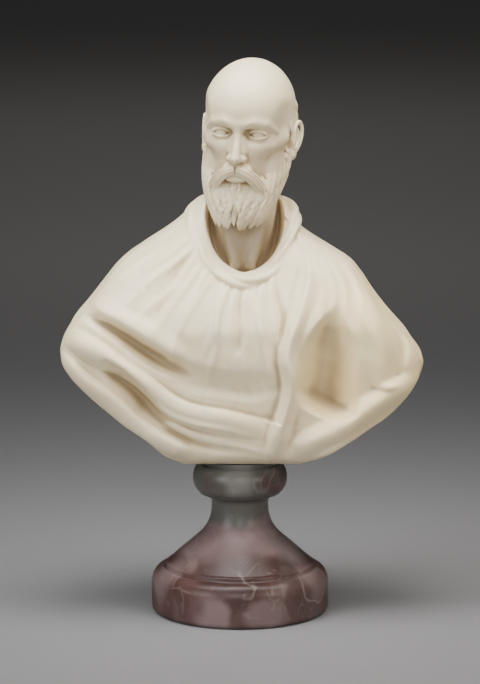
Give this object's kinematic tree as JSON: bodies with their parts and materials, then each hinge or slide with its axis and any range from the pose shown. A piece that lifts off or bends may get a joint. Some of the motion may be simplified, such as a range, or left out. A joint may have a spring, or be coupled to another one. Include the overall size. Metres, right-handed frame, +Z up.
{
  "type": "bust",
  "caption": "Marble portrait-style bust of a bearded man in a draped mantle, cut off below the arms, standing on a turned round socle.",
  "frame": {"origin": "centre of the socle's flat underside", "axes": "+Z up through the crown of the head, -Y the way the chest faces, +X towards the bust's own left shoulder"},
  "size_m": [0.2524, 0.124, 0.3879],
  "materials": {
    "white_marble": "softly polished cream marble with brown dust in its hollows",
    "red_marble": "polished dark red marble with grey-green clouds and pale veins"
  },
  "bodies": {
    "root": {"bust": "white_marble", "socle": "red_marble"}
  },
  "joints": []
}
